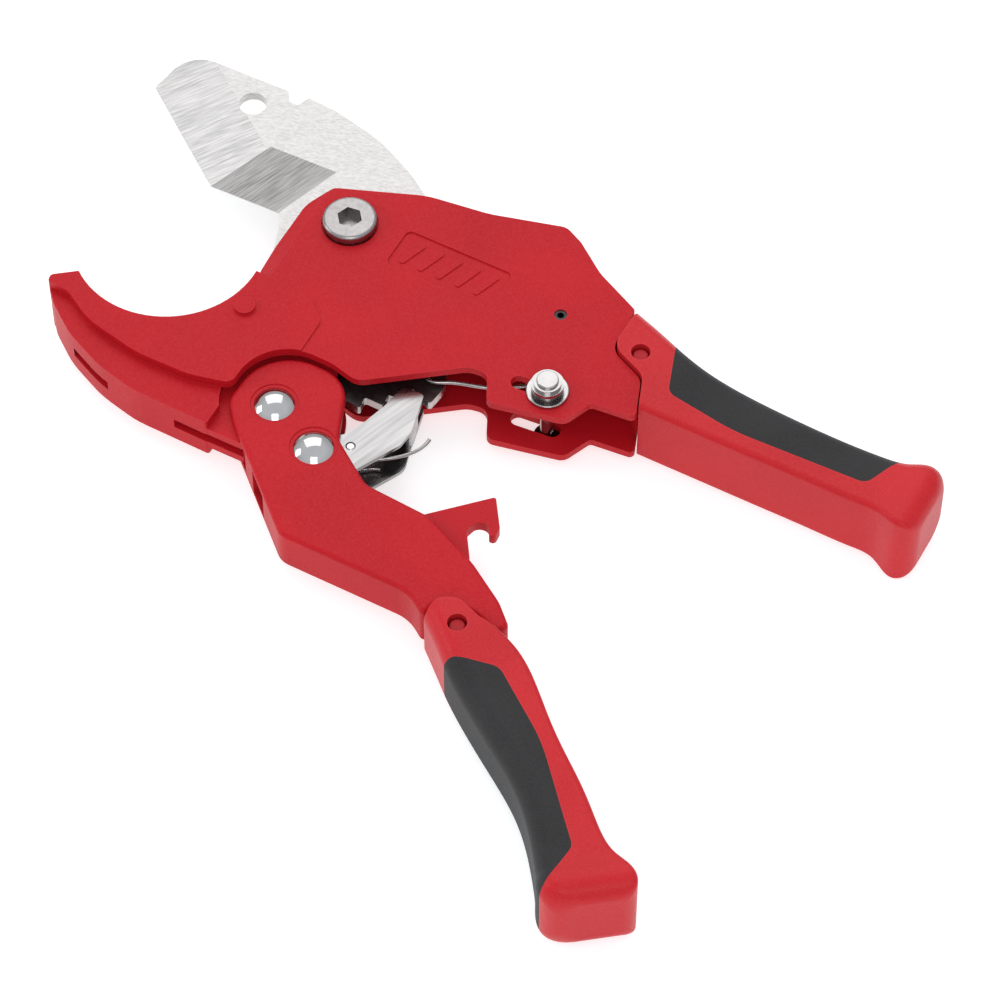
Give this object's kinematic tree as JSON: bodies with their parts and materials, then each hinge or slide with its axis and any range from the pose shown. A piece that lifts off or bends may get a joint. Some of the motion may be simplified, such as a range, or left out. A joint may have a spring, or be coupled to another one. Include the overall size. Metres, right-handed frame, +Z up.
{
  "type": "ratchet plastic pipe cutter",
  "caption": "Hand-held ratchet shears for plastic pipe: a round pipe seat, a swinging blade with a toothed tail, a pawl on a hooked lever handle, and a sliding lock pin.",
  "frame": {"origin": "where the blade bolt's axis meets the surface the tool lies on; the flat end of that bolt and its nut rest on it", "axes": "+X along the fixed handle, from the bolt towards the handle's end; +Y towards the back of the blade; +Z up from the surface, parallel to every pivot"},
  "size_m": [0.2161, 0.1698, 0.0239],
  "materials": {
    "body_red": "textured red powder coat on a die casting",
    "grip_red": "satin red plastic",
    "inlay_charcoal": "matte charcoal soft skin",
    "pin_red": "satin red",
    "bolt_chrome": "bright plated steel",
    "rivet_chrome": "bright plated steel",
    "lock_steel": "bright turned steel",
    "black_steel": "blackened steel",
    "spring_steel": "bright spring wire",
    "blade_steel": "ground steel with bright bevels",
    "pawl_steel": "bright stamped sheet steel"
  },
  "bodies": {
    "body": {"body_frame": "body_red", "blade_bolt": "bolt_chrome", "blade_bolt_nut": "bolt_chrome", "lever_pivot_rivet": "rivet_chrome", "spring_anchor_pin": "black_steel", "blade_return_spring": "spring_steel", "upper_grip": "grip_red", "upper_grip_inlay": "inlay_charcoal", "upper_grip_pin": "pin_red"},
    "blade": {"blade": "blade_steel"},
    "lever": {"lever": "body_red", "pawl_pivot_rivet": "rivet_chrome", "pawl_spring": "spring_steel", "lower_grip": "grip_red", "lower_grip_inlay": "inlay_charcoal", "lower_grip_pin": "pin_red"},
    "pawl": {"pawl": "pawl_steel", "pawl_spring_stop": "rivet_chrome"},
    "lock": {"lock_pin": "lock_steel", "lock_pin_washer": "lock_steel", "lock_pin_clip": "black_steel"}
  },
  "joints": [
    {"name": "blade_hinge", "type": "hinge", "parent": "body", "child": "blade", "pos_m": [0, 0, 0.011], "axis": [0, 0, 1], "range_deg": [0, 70], "stiffness_Nm_per_rad": 0.1, "springref_deg": -17.19, "deforming": ["blade_return_spring"]},
    {"name": "lever_hinge", "type": "hinge", "parent": "body", "child": "lever", "pos_m": [0.0095, -0.0514, 0.011], "axis": [0, 0, 1], "range_deg": [0, 40]},
    {"name": "pawl_hinge", "type": "hinge", "parent": "lever", "child": "pawl", "pos_m": [0.0231, -0.0576, 0.011], "axis": [0, 0, 1], "range_deg": [-56, 0], "deforming": ["pawl_spring"]},
    {"name": "lock_pin_slide", "type": "slide", "parent": "body", "child": "lock", "axis": [-0.9954, -0.0958, 0], "range_m": [-0.0014, 0.0056]}
  ],
  "couplings": [
    {"joint": "pawl_hinge", "follows": "lever_hinge", "ratio": -1.33}
  ]
}
